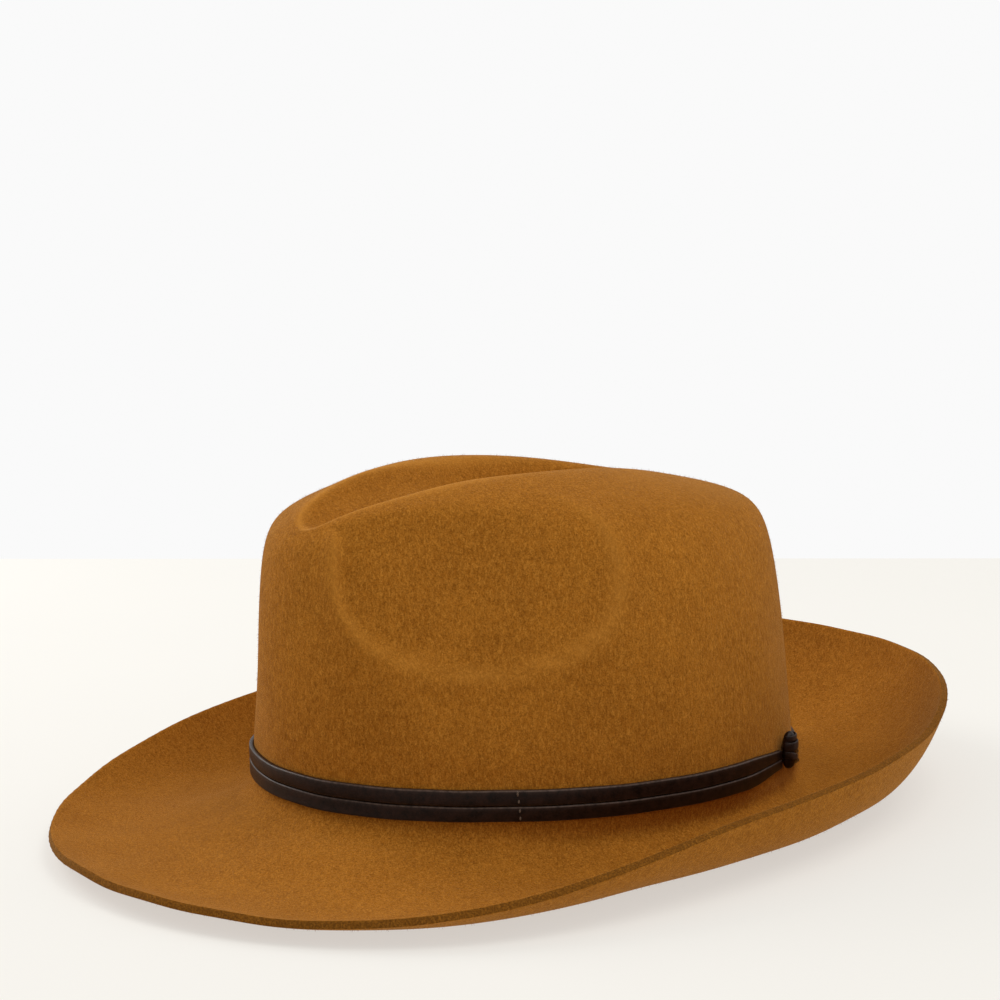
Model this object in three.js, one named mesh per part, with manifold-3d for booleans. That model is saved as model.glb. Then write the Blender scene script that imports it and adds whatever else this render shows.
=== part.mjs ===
// Fedora hat: a one-piece blocked felt body, a two-strap leather band tied with a knot,
// a leather sweatband with its reed, and a satin lining.
// Millimetres, +Z up, front of the hat toward -Y, the wearer's left toward +X.
// The origin is on the surface the hat stands on, under the middle of its outline.

import * as THREE from 'three';
import Module from 'manifold-3d';

const wasm = await Module();
wasm.setup();

// ---- driving dimensions -------------------------------------------------------------------

const FELT_THICKNESS = 2.4;
const COLUMNS = 48;
const REST_PITCH = 2.4;
const REST_FLAT_DEPTH = 0.35;
const CLEARANCE = 0.35;

// Rings of the crown in the hat's own frame, where z = 0 is the fold between crown and brim.
// halfLength is front to back, halfWidth is side to side, centreY moves the ring back, and
// height holds stations equally spaced from the front of the head to the back.
const CREST = {
  halfLength: 70.3, halfWidth: 25, centreY: -21.9,
  height: [94.5, 98.5, 104.5, 109.5, 109.5, 108.4, 106.9, 105, 104.5],
};
const CREASE_DEPTH = [0.5, 7, 14, 15, 12];
const CREASE_RINGS = [
  { length: 0.45, width: 0, depth: 1 },
  { length: 0.68, width: 0.4, depth: 0.93 },
  { length: 0.88, width: 0.8, depth: 0.5 },
];
const CROWN_RINGS = [
  CREST,
  {
    halfLength: 73.5, halfWidth: 31.6, centreY: -20.6,
    height: [93.5, 98, 103, 107, 111.5, 111.5, 108.3, 105.2, 104],
  },
  {
    halfLength: 89.8, halfWidth: 63.7, centreY: -3.4,
    height: [94, 95.8, 98.5, 100.6, 102.3, 101.8, 100.7, 98.8, 98],
  },
  {
    halfLength: 96.4, halfWidth: 77, centreY: -2.9,
    height: [87.5, 87.7, 89.3, 90, 90, 89.2, 88.7, 87.6, 86],
  },
  { halfLength: 98.5, halfWidth: 82.5, centreY: 0, height: [45] },
  { halfLength: 99.5, halfWidth: 85, centreY: 2, height: [15] },
  { halfLength: 99.5, halfWidth: 84, centreY: 3.5, height: [5] },
  { halfLength: 105, halfWidth: 82, centreY: 3, height: [0] },
];
// Ring numbers counted from the bottom of the crease: the shoulder and the fold.
const SHOULDER = 5;
const BREAK = CREASE_RINGS.length + CROWN_RINGS.length - 1;

// Two hollows pinched into the front corners of the crown, in degrees and millimetres.
const PINCH = { angle: 44, spread: 14, z: 65, above: 24, below: 22, depth: 8.5, heading: 58 };
// Ring numbers between which the pinch fades in below the crease and out above the fold.
const PINCH_RINGS = { from: 2, full: 4.5, fading: 9, gone: 10 };
// The one on the wearer's left goes deeper, in an oval that is open at the top.
const HOLLOW = { angle: 46, spread: 32, z: 87, below: 36, low: 4, high: 10.5, lowZ: 55, highZ: 92 };
const HOLLOW_RINGS = { from: 4.05, full: 5.6, fading: 7, gone: 8 };

// The brim runs out from the fold: width and slope at stations from the front to the back.
const BRIM_WIDTH = [66.5, 64.5, 58, 65.5, 66.5];
const BRIM_STEPS = [0.08, 0.25, 0.45, 0.65, 0.85, 1];
const BRIM_SLOPES = [
  { out: 0, degrees: [-23, -23, -43, -39, -30, -14, -8] },
  { out: 0.35, degrees: [-16, -13, -5, 4, 10, 21, 25] },
  { out: 0.7, degrees: [-1, -4, 20, 43, 52, 56, 54] },
  { out: 1, degrees: [28, 28, 54, 75, 76, 75, 76] },
];
const LAST = BREAK + BRIM_STEPS.length;

const STRAP = { height: 4.85, thickness: 1.9, chamfer: 0.5, lowerZ: 6.6, upperZ: 11.75 };
// Near the knot the straps draw together: edges and height there, and the angles it happens over.
const GATHER = { height: 3.1, lowerZ: 8.9, upperZ: 12.2, from: 2.5, to: 17 };
const KNOT = { angle: 121, halfHeight: 6.5, halfWidth: 3.4, depth: 4.6, z: 14.8, standOff: 0.6, gap: 3.4 };
const KNOT_SIDES = 14;
const WRAP = { halfHeight: 1.25, thickness: 0.7, gap: 0.6, foot: 0.75, levels: [1.5, 4.4], steps: 14 };
const TWIST = { level: -2.6, tilt: 1.1, gap: 0.9 };
const TAIL = { reach: 9, gap: 1.6, thickness: 1.4, margin: 0.5 };
const TACK = { angle: 52, radius: 0.3, inset: 0.4, halfSpread: 0.35 };

const LINING = { outer: 3.2, inner: 3.65, bottom: 24, top: 78, lean: 2.6 };
const TIP = { rimZ: 82.5, rimInset: 8, rise: 3.2, thickness: 0.6, seamLength: 0.35 };
const PIPING = { z: 80.2, inset: 5.6, radius: 0.9 };
const SWEATBAND = { outer: 4.6, inner: 5.6, bottom: -0.5, top: 44 };
const REED = { inset: 5.55, z: -2.1, radius: 0.75 };
const REED_TAPE = { outer: 3.95, inner: 6.8, thickness: 0.35, top: 1.2, bottom: -3.8, lip: -0.9 };
const STITCH = { z: 2.6, radius: 0.25 };
const SEAM_TAPE = { halfAngle: 4.5, thickness: 0.5, bottom: 4.2, top: 42 };
const BOW = { halfWidth: 11, halfHeight: 3.4, thickness: 1.4, z: 9 };
const LABEL = { angle: 156, halfAngle: 5.5, thickness: 0.35, bottom: 14, top: 30 };

const DEGREE = Math.PI / 180;

// ---- the shape of the felt ----------------------------------------------------------------

// Smooth value round the head, the same on both sides, through evenly spaced stations.
function around(angle, stations) {
  const last = stations.length - 1;
  if (last === 0) return stations[0];
  let total = 0;
  for (let order = 0; order <= last; order += 1) {
    let weight = 0;
    for (let k = 0; k <= last; k += 1) {
      const share = k === 0 || k === last ? 0.5 : 1;
      weight += share * stations[k] * Math.cos(Math.PI * order * k / last);
    }
    const scale = order === 0 || order === last ? 1 / last : 2 / last;
    total += scale * weight * Math.cos(order * angle);
  }
  return total;
}

function ringPoint(angle, halfLength, halfWidth, centreY, z) {
  return new THREE.Vector3(halfWidth * Math.sin(angle), centreY - halfLength * Math.cos(angle), z);
}

function creasePoint(angle, ring) {
  const z = around(angle, CREST.height) - ring.depth * around(angle, CREASE_DEPTH);
  return ringPoint(angle, CREST.halfLength * ring.length, CREST.halfWidth * ring.width, CREST.centreY, z);
}

function crownPoint(angle, ring) {
  return ringPoint(angle, ring.halfLength, ring.halfWidth, ring.centreY, around(angle, ring.height));
}

// Outward level direction of the oval at the fold.
function outward(angle) {
  const fold = CROWN_RINGS[CROWN_RINGS.length - 1];
  const x = fold.halfLength * Math.sin(angle);
  const y = -fold.halfWidth * Math.cos(angle);
  return new THREE.Vector3(x, y, 0).normalize();
}

function brimSlope(angle, out) {
  const next = Math.max(1, BRIM_SLOPES.findIndex((row) => row.out >= out));
  const from = BRIM_SLOPES[next - 1];
  const to = BRIM_SLOPES[next];
  const share = (out - from.out) / (to.out - from.out);
  const slope = around(angle, from.degrees) * (1 - share) + around(angle, to.degrees) * share;
  return slope * DEGREE;
}

// Control points of the brim, found by walking out from the fold along its slope.
function brimPoints(angle, fold) {
  const walk = 6;
  const direction = outward(angle);
  const width = around(angle, BRIM_WIDTH);
  const place = fold.clone();
  const points = [];
  let from = 0;
  for (const to of BRIM_STEPS) {
    const stride = width * (to - from) / walk;
    for (let k = 0; k < walk; k += 1) {
      const slope = brimSlope(angle, from + (to - from) * (k + 0.5) / walk);
      place.addScaledVector(direction, stride * Math.cos(slope));
      place.z += stride * Math.sin(slope);
    }
    points.push(place.clone());
    from = to;
  }
  return points;
}

// Control points down one side of the hat, from the bottom of the crease to the brim edge.
// The point before the first mirrors the second, so the crease is smooth across the middle.
function controlColumn(angle) {
  const points = CREASE_RINGS.map((ring) => creasePoint(angle, ring));
  points.push(...CROWN_RINGS.map((ring) => crownPoint(angle, ring)));
  points.push(...brimPoints(angle, points[BREAK]));
  const mirrored = points[1].clone().setX(-points[1].x);
  const last = points[points.length - 1];
  const beyond = last.clone().multiplyScalar(2).sub(points[points.length - 2]);
  return [mirrored, ...points, beyond];
}

const columnStore = new Map();

function columnAt(angle) {
  if (!columnStore.has(angle)) columnStore.set(angle, controlColumn(angle));
  return columnStore.get(angle);
}

function splinePoint(angle, u) {
  const column = columnAt(angle);
  const start = Math.min(Math.floor(u), column.length - 4);
  const f = u - start;
  const weights = [
    (1 - f) ** 3 / 6,
    (3 * f ** 3 - 6 * f ** 2 + 4) / 6,
    (-3 * f ** 3 + 3 * f ** 2 + 3 * f + 1) / 6,
    f ** 3 / 6,
  ];
  const point = new THREE.Vector3();
  weights.forEach((weight, k) => point.addScaledVector(column[start + k], weight));
  return point;
}

function ringFade(u, rings) {
  const fadeIn = THREE.MathUtils.smoothstep(u, rings.from, rings.full);
  return fadeIn * (1 - THREE.MathUtils.smoothstep(u, rings.fading, rings.gone));
}

function hollowDepth(turn, u, z) {
  const side = (turn - HOLLOW.angle) / HOLLOW.spread;
  const drop = Math.max(HOLLOW.z - z, 0) / HOLLOW.below;
  const reach = Math.hypot(side, drop ** 1.25);
  const rise = THREE.MathUtils.smoothstep(z, HOLLOW.lowZ, HOLLOW.highZ);
  const deepest = HOLLOW.low + (HOLLOW.high - HOLLOW.low) * rise;
  return deepest * ringFade(u, HOLLOW_RINGS) * Math.max(1 - reach * reach, 0) ** 1.5;
}

function pinchDepth(angle, u, z) {
  const turn = Math.abs(Math.atan2(Math.sin(angle), Math.cos(angle))) / DEGREE;
  const side = (turn - PINCH.angle) / PINCH.spread;
  const rise = (z - PINCH.z) / (z > PINCH.z ? PINCH.above : PINCH.below);
  const depth = PINCH.depth * ringFade(u, PINCH_RINGS) * Math.exp(-0.5 * (side * side + rise * rise));
  return Math.sin(angle) > 0 ? depth + hollowDepth(turn, u, z) : depth;
}

// Point on the outer face of the felt: u counts rings from the crease to the brim edge.
function feltPoint(angle, u) {
  const point = splinePoint(angle, u);
  const depth = pinchDepth(angle, u, point.z);
  point.x -= depth * Math.sin(PINCH.heading * DEGREE) * Math.sign(Math.sin(angle));
  point.y += depth * Math.cos(PINCH.heading * DEGREE);
  return point;
}

function feltNormal(angle, u) {
  const step = 0.02;
  const across = feltPoint(angle + step, u).sub(feltPoint(angle - step, u));
  const down = feltPoint(angle, Math.min(u + step, LAST)).sub(feltPoint(angle, Math.max(u - step, 0)));
  return across.cross(down).normalize().negate();
}

// Heights below which things on the wall hang straight down, inside and outside the hat.
const STRAIGHT_BELOW = { inside: 8, outside: 2 };
const HALVINGS = 24;

// Outer wall of the crown at a height, moved inward level by an inset, or outward by a negative
// one. Inside the hat the lowest pieces hang straight down instead of following the flare.
function wallPoint(angle, z, inset) {
  const lowest = inset > 0 ? STRAIGHT_BELOW.inside : STRAIGHT_BELOW.outside;
  let upper = SHOULDER;
  let lower = BREAK;
  const target = Math.max(z, lowest);
  for (let k = 0; k < HALVINGS; k += 1) {
    const middle = (upper + lower) / 2;
    if (splinePoint(angle, middle).z > target) upper = middle;
    else lower = middle;
  }
  return feltPoint(angle, upper).addScaledVector(outward(angle), -inset).setZ(z);
}

// ---- solids -------------------------------------------------------------------------------

function geometryFrom(points, triangles) {
  const geometry = new THREE.BufferGeometry();
  const coordinates = points.flatMap((point) => [point.x, point.y, point.z]);
  const isInsideOut = signedVolume(points, triangles) < 0;
  const outward = isInsideOut ? triangles.map(([a, b, c]) => [a, c, b]) : triangles;
  geometry.setAttribute('position', new THREE.Float32BufferAttribute(coordinates, 3));
  geometry.setIndex(outward.flat());
  geometry.computeVertexNormals();
  return geometry;
}

function signedVolume(points, triangles) {
  const cross = new THREE.Vector3();
  let volume = 0;
  for (const [a, b, c] of triangles) volume += cross.crossVectors(points[b], points[c]).dot(points[a]) / 6;
  return volume;
}

const COLUMN_ANGLES = Array.from({ length: COLUMNS }, (_, k) => 2 * Math.PI * k / COLUMNS);

// Shell whose first and last rows lie on the middle line, where left and right columns meet.
function foldedShell(rows) {
  const points = [];
  const rowIndex = rows.map((row, r) => row.map((point, c) => {
    const onMiddleLine = r === 0 || r === rows.length - 1;
    if (onMiddleLine && c > COLUMNS / 2) return null;
    points.push(onMiddleLine ? point.clone().setX(0) : point);
    return points.length - 1;
  }));
  const at = (r, c) => rowIndex[r][c % COLUMNS] ?? rowIndex[r][(COLUMNS - c) % COLUMNS];
  const triangles = [];
  for (let r = 0; r + 1 < rows.length; r += 1) {
    for (let c = 0; c < COLUMNS; c += 1) {
      triangles.push([at(r, c), at(r, c + 1), at(r + 1, c + 1)]);
      triangles.push([at(r, c), at(r + 1, c + 1), at(r + 1, c)]);
    }
  }
  return geometryFrom(points, triangles.filter(([a, b, c]) => a !== b && b !== c && c !== a));
}

// Solid through a row of outlines, closed into a loop or capped at both ends.
function sweptSolid(outlines, isLoop) {
  const sides = outlines[0].length;
  const points = outlines.flat();
  const triangles = [];
  const spans = isLoop ? outlines.length : outlines.length - 1;
  for (let k = 0; k < spans; k += 1) {
    const here = k * sides;
    const there = ((k + 1) % outlines.length) * sides;
    for (let s = 0; s < sides; s += 1) {
      const next = (s + 1) % sides;
      triangles.push([here + s, there + s, there + next]);
      triangles.push([here + s, there + next, here + next]);
    }
  }
  if (!isLoop) {
    const end = (outlines.length - 1) * sides;
    for (let s = 1; s + 1 < sides; s += 1) {
      triangles.push([0, s, s + 1]);
      triangles.push([end, end + s + 1, end + s]);
    }
  }
  return geometryFrom(points, triangles);
}

// Ring or strip inside or outside the crown wall: its outline holds [inset, z] pairs.
function wallSweep(outline, angles, isLoop) {
  const outlines = angles.map((angle) => outline.map(([inset, z]) => wallPoint(angle, z, inset)));
  return sweptSolid(outlines, isLoop);
}

function patchAngles(middle, halfAngle, count) {
  const first = (middle - halfAngle) * DEGREE;
  return Array.from({ length: count }, (_, k) => first + 2 * halfAngle * DEGREE * k / (count - 1));
}

function roundOutline(inset, z, radius, sides) {
  return Array.from({ length: sides }, (_, k) => {
    const turn = 2 * Math.PI * k / sides;
    return [inset + radius * Math.cos(turn), z + radius * Math.sin(turn)];
  });
}

// Section of thin sheet between two insets, with extra points so that it bends with the wall.
function sheetOutline(outer, inner, bottom, top, steps) {
  const heights = Array.from({ length: steps + 1 }, (_, k) => bottom + (top - bottom) * k / steps);
  return [...heights.map((z) => [outer, z]), ...heights.reverse().map((z) => [inner, z])];
}

function toManifold(geometry) {
  const vertProperties = new Float32Array(geometry.getAttribute('position').array);
  const triVerts = new Uint32Array(geometry.getIndex().array);
  return new wasm.Manifold(new wasm.Mesh({ numProp: 3, vertProperties, triVerts }));
}

function fromManifold(solid) {
  const mesh = solid.getMesh();
  const geometry = new THREE.BufferGeometry();
  geometry.setAttribute('position', new THREE.BufferAttribute(mesh.vertProperties, 3));
  geometry.setIndex(new THREE.BufferAttribute(mesh.triVerts, 1));
  geometry.computeVertexNormals();
  return geometry;
}

// ---- felt ---------------------------------------------------------------------------------

function feltRows() {
  const half = Array.from({ length: 2 * LAST + 1 }, (_, k) => k / 2);
  const outerFace = half;
  const underFace = half.filter((u) => u > SHOULDER || Number.isInteger(u)).reverse();
  const rowAt = (u, depth) => COLUMN_ANGLES.map((angle) => {
    return feltPoint(angle, u).addScaledVector(feltNormal(angle, u), -depth);
  });
  return [...outerFace.map((u) => rowAt(u, 0)), ...underFace.map((u) => rowAt(u, FELT_THICKNESS))];
}

// The brim's lowest places wear flat where they touch what the hat stands on.
function withRestFlats(geometry, restFrame) {
  const size = 600;
  const slab = new THREE.BoxGeometry(size, size, size).toNonIndexed();
  slab.translate(0, 0, -size / 2);
  slab.applyMatrix4(restFrame.clone().invert());
  const corners = slab.getAttribute('position');
  const points = [];
  const triangles = [];
  for (let k = 0; k < corners.count; k += 1) {
    const corner = new THREE.Vector3().fromBufferAttribute(corners, k);
    const known = points.findIndex((point) => point.distanceTo(corner) < 1);
    triangles.push(known < 0 ? points.push(corner) - 1 : known);
  }
  const faces = Array.from({ length: triangles.length / 3 }, (_, k) => triangles.slice(3 * k, 3 * k + 3));
  const cutter = toManifold(geometryFrom(points, faces));
  return fromManifold(toManifold(geometry).subtract(cutter));
}

// ---- band ---------------------------------------------------------------------------------

// Bottom and top of the lower or upper strap, which draw together toward the knot.
function strapEdges(level, angle) {
  const turn = angle - KNOT.angle * DEGREE;
  const away = Math.abs(Math.atan2(Math.sin(turn), Math.cos(turn))) / DEGREE;
  const drawn = 1 - THREE.MathUtils.smoothstep(away, GATHER.from, GATHER.to);
  const bottom = THREE.MathUtils.lerp(STRAP[level], GATHER[level], drawn);
  const height = THREE.MathUtils.lerp(STRAP.height, GATHER.height, drawn);
  return [bottom, bottom + height];
}

function strapSection(level, angle) {
  const [bottom, top] = strapEdges(level, angle);
  const near = -CLEARANCE;
  const far = near - STRAP.thickness;
  const { chamfer } = STRAP;
  const section = [
    [near, bottom], [near, top], [far + chamfer, top], [far, top - chamfer],
    [far, bottom + chamfer], [far + chamfer, bottom],
  ];
  return section.map(([inset, z]) => wallPoint(angle, z, inset));
}

function strap(level) {
  const first = (KNOT.angle + KNOT.gap) * DEGREE;
  const last = (KNOT.angle + 360 - KNOT.gap) * DEGREE;
  const half = Math.PI / COLUMNS;
  const columns = Array.from({ length: 4 * COLUMNS }, (_, k) => k * half);
  const between = columns.filter((angle) => angle > first + half / 2 && angle < last - half / 2);
  return sweptSolid([first, ...between, last].map((angle) => strapSection(level, angle)), false);
}

// End of the knot's lace, laid over the strap behind the knot.
function tail(level) {
  const near = -CLEARANCE - STRAP.thickness - CLEARANCE;
  const far = near - TAIL.thickness;
  const angles = patchAngles(KNOT.angle + KNOT.gap + TAIL.gap + TAIL.reach / 2, TAIL.reach / 2, 4);
  const sections = angles.map((angle) => {
    const [bottom, top] = strapEdges(level, angle);
    const lower = bottom + TAIL.margin;
    const upper = top - TAIL.margin;
    const section = [[near, lower], [near, upper], [far, upper], [far, lower]];
    return section.map(([inset, z]) => wallPoint(angle, z, inset));
  });
  return sweptSolid(sections, false);
}

// Frame at the knot: x runs along the wall, y runs out of it, z up.
function knotFrame() {
  const angle = KNOT.angle * DEGREE;
  const out = outward(angle);
  const along = new THREE.Vector3(0, 0, 1).cross(out).negate();
  const matrix = new THREE.Matrix4().makeBasis(along, out, new THREE.Vector3(0, 0, 1));
  return matrix.setPosition(wallPoint(angle, KNOT.z, 0));
}

// Upright roll of leather at the middle of the knot: [share of radius, share of half height].
function knotCore() {
  const { halfHeight, halfWidth, depth, standOff } = KNOT;
  const profile = [
    [0, -1], [0.6, -0.94], [0.95, -0.7], [1, -0.2], [1, 0.5], [0.92, 0.8], [0.6, 0.95], [0, 1],
  ];
  const roll = profile.map(([radius, z]) => new THREE.Vector2(radius * halfWidth, z * halfHeight));
  const geometry = new THREE.LatheGeometry(roll, KNOT_SIDES);
  geometry.rotateX(Math.PI / 2);
  geometry.scale(1, depth / (2 * halfWidth), 1);
  geometry.translate(0, depth / 2 + standOff, 0);
  return geometry.applyMatrix4(knotFrame());
}

// One turn of lace over the front of the knot, from the wall on one side to the other.
function knotWrap(level, tilt, gap) {
  const { halfHeight, thickness, foot } = WRAP;
  const reachX = KNOT.halfWidth + thickness / 2 + gap;
  const reachY = KNOT.depth + KNOT.standOff + thickness / 2 + gap;
  const turns = Array.from({ length: 9 }, (_, k) => Math.PI * k / 8);
  const bend = turns.map((turn) => {
    const out = foot + (reachY - foot) * Math.sin(turn);
    return new THREE.Vector3(reachX * Math.cos(turn), out, level + tilt * Math.cos(turn));
  });
  const section = new THREE.Shape();
  section.moveTo(-halfHeight, -thickness / 2);
  section.lineTo(halfHeight, -thickness / 2);
  section.lineTo(halfHeight, thickness / 2);
  section.lineTo(-halfHeight, thickness / 2);
  const path = new THREE.CatmullRomCurve3(bend);
  const geometry = new THREE.ExtrudeGeometry(section, { steps: WRAP.steps, extrudePath: path });
  return geometry.applyMatrix4(knotFrame());
}

// Thread that tacks both straps to the felt: it lies over the straps and dips in the groove.
function tackThread(side) {
  const angle = side * TACK.angle * DEGREE;
  const face = -CLEARANCE - STRAP.thickness - CLEARANCE - TACK.radius;
  const bottom = STRAP.lowerZ + TACK.inset;
  const top = STRAP.upperZ + STRAP.height - TACK.inset;
  const spread = TACK.halfSpread * DEGREE;
  const outlines = [bottom, (bottom + top) / 2, top].map((z) => [
    wallPoint(angle - spread, z, face),
    wallPoint(angle, z, face - TACK.radius),
    wallPoint(angle + spread, z, face),
    wallPoint(angle, z, face + TACK.radius),
  ]);
  return sweptSolid(outlines, false);
}

// ---- sweatband and lining -----------------------------------------------------------------

function reedTape() {
  const { outer, inner, thickness, top, bottom, lip } = REED_TAPE;
  const outline = [
    [outer, top], [outer, bottom], [inner, bottom], [inner, lip], [inner - thickness, lip],
    [inner - thickness, bottom + thickness], [outer + thickness, bottom + thickness],
    [outer + thickness, top],
  ];
  return wallSweep(outline, COLUMN_ANGLES, true);
}

function seamTape() {
  const near = SWEATBAND.inner + 2 * CLEARANCE;
  const outline = sheetOutline(near, near + SEAM_TAPE.thickness, SEAM_TAPE.bottom, SEAM_TAPE.top, 3);
  return wallSweep(outline, patchAngles(180, SEAM_TAPE.halfAngle, 4), false);
}

function sizeLabel() {
  const near = SWEATBAND.inner + CLEARANCE;
  const outline = [[near, LABEL.bottom], [near, LABEL.top]];
  outline.push([near + LABEL.thickness, LABEL.top], [near + LABEL.thickness, LABEL.bottom]);
  return wallSweep(outline, patchAngles(LABEL.angle, LABEL.halfAngle, 4), false);
}

function bow() {
  const { halfWidth, halfHeight, thickness } = BOW;
  const shape = new THREE.Shape();
  shape.moveTo(0, halfHeight * 0.4);
  shape.quadraticCurveTo(halfWidth * 0.5, halfHeight * 1.3, halfWidth, halfHeight);
  shape.quadraticCurveTo(halfWidth * 0.85, 0, halfWidth, -halfHeight);
  shape.quadraticCurveTo(halfWidth * 0.5, -halfHeight * 1.3, 0, -halfHeight * 0.4);
  shape.quadraticCurveTo(-halfWidth * 0.5, -halfHeight * 1.3, -halfWidth, -halfHeight);
  shape.quadraticCurveTo(-halfWidth * 0.85, 0, -halfWidth, halfHeight);
  shape.quadraticCurveTo(-halfWidth * 0.5, halfHeight * 1.3, 0, halfHeight * 0.4);
  const settings = { depth: thickness, bevelEnabled: false, curveSegments: 5 };
  const geometry = new THREE.ExtrudeGeometry(shape, settings);
  geometry.rotateX(Math.PI / 2);
  const inset = SWEATBAND.inner + 3 * CLEARANCE + SEAM_TAPE.thickness + thickness;
  const back = wallPoint(Math.PI, BOW.z, inset);
  return geometry.translate(back.x, back.y, back.z);
}

// The side panel is tucked behind the sweatband and leans in above it.
function liningSide() {
  const { outer, inner, bottom, top, lean } = LINING;
  const leaned = sheetOutline(outer, inner, bottom, top, 6).map(([inset, z]) => {
    return [inset + lean * Math.max(0, (z - SWEATBAND.top) / (top - SWEATBAND.top)), z];
  });
  return wallSweep(leaned, COLUMN_ANGLES, true);
}

// Oval top panel of the lining, sagging toward its rim from a short line along its middle.
function liningTip() {
  const fractions = [0, 0.3, 0.6, 0.85, 1];
  const rim = COLUMN_ANGLES.map((angle) => wallPoint(angle, TIP.rimZ, TIP.rimInset));
  const rowAt = (fraction, drop) => rim.map((point) => {
    const spread = TIP.seamLength + (1 - TIP.seamLength) * fraction;
    const z = TIP.rimZ + TIP.rise * (1 - fraction * fraction) - drop;
    return new THREE.Vector3(point.x * fraction, point.y * spread, z);
  });
  const over = fractions.map((fraction) => rowAt(fraction, 0));
  const under = [...fractions].reverse().map((fraction) => rowAt(fraction, TIP.thickness));
  return foldedShell([...over, ...under]);
}

// ---- assembly -----------------------------------------------------------------------------

function piece(name, geometry, color, roughness) {
  const material = new THREE.MeshStandardMaterial({ color, roughness, metalness: 0 });
  const mesh = new THREE.Mesh(geometry, material);
  mesh.name = name;
  return mesh;
}

const FELT_COLOR = 0x9a5f1e;
const LEATHER_COLOR = 0x2b1a13;
const SWEATBAND_COLOR = 0x6b4427;
const SATIN_COLOR = 0x8a6a3c;
const THREAD_COLOR = 0x4a3626;

const felt = piece('felt_body', foldedShell(feltRows()), FELT_COLOR, 0.95);
const hat = new THREE.Group();
hat.add(felt);
hat.rotation.x = -REST_PITCH * DEGREE;
hat.updateMatrixWorld(true);
const outline = new THREE.Box3().setFromObject(hat, true);
hat.position.y = -(outline.min.y + outline.max.y) / 2;
hat.position.z = -outline.min.z - REST_FLAT_DEPTH;
hat.updateMatrixWorld(true);
felt.geometry = withRestFlats(felt.geometry, hat.matrixWorld);

const bandPieces = new THREE.Group();
bandPieces.add(piece('band_lower_strap', strap('lowerZ'), LEATHER_COLOR, 0.45));
bandPieces.add(piece('band_upper_strap', strap('upperZ'), LEATHER_COLOR, 0.45));
bandPieces.add(piece('band_knot_core', knotCore(), LEATHER_COLOR, 0.5));
bandPieces.add(piece('band_knot_wrap_lower', knotWrap(WRAP.levels[0], 0, WRAP.gap), LEATHER_COLOR, 0.45));
bandPieces.add(piece('band_knot_wrap_upper', knotWrap(WRAP.levels[1], 0, WRAP.gap), LEATHER_COLOR, 0.45));
bandPieces.add(piece('band_knot_twist', knotWrap(TWIST.level, TWIST.tilt, TWIST.gap), LEATHER_COLOR, 0.45));
bandPieces.add(piece('band_tail_lower', tail('lowerZ'), LEATHER_COLOR, 0.5));
bandPieces.add(piece('band_tail_upper', tail('upperZ'), LEATHER_COLOR, 0.5));
bandPieces.add(piece('band_tack_left', tackThread(1), THREAD_COLOR, 0.8));
bandPieces.add(piece('band_tack_right', tackThread(-1), THREAD_COLOR, 0.8));

const sweatPieces = new THREE.Group();
const { outer, inner, bottom, top } = SWEATBAND;
const leatherStrip = sheetOutline(outer, inner, bottom, top, 4);
const reedOutline = roundOutline(REED.inset, REED.z, REED.radius, 6);
const threadInset = inner + CLEARANCE + STITCH.radius;
const threadOutline = roundOutline(threadInset, STITCH.z, STITCH.radius, 5);
const threadRing = wallSweep(threadOutline, COLUMN_ANGLES, true);
sweatPieces.add(piece('sweatband', wallSweep(leatherStrip, COLUMN_ANGLES, true), SWEATBAND_COLOR, 0.6));
sweatPieces.add(piece('sweatband_reed', wallSweep(reedOutline, COLUMN_ANGLES, true), 0xd8d2c4, 0.5));
sweatPieces.add(piece('sweatband_reed_tape', reedTape(), 0x3d2c1c, 0.9));
sweatPieces.add(piece('sweatband_stitch', threadRing, THREAD_COLOR, 0.8));
sweatPieces.add(piece('sweatband_seam_tape', seamTape(), SWEATBAND_COLOR, 0.7));
sweatPieces.add(piece('sweatband_bow', bow(), 0x2a1f18, 0.6));
sweatPieces.add(piece('size_label', sizeLabel(), 0xe6ddc8, 0.8));

const liningPieces = new THREE.Group();
const pipingOutline = roundOutline(PIPING.inset, PIPING.z, PIPING.radius, 6);
const pipingRing = wallSweep(pipingOutline, COLUMN_ANGLES, true);
liningPieces.add(piece('lining_side', liningSide(), SATIN_COLOR, 0.35));
liningPieces.add(piece('lining_tip_piping', pipingRing, LEATHER_COLOR, 0.5));
liningPieces.add(piece('lining_tip', liningTip(), SATIN_COLOR, 0.35));

hat.add(bandPieces, sweatPieces, liningPieces);
const assembly = new THREE.Group();
assembly.add(hat);

export default assembly;
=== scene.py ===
"""Looks of a felt fedora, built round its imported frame.

Hat shapes are worked out in millimetres in the hat's own frame, where z = 0 is the fold between
crown and brim, and are then set down in the row frame in metres.
"""

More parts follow.
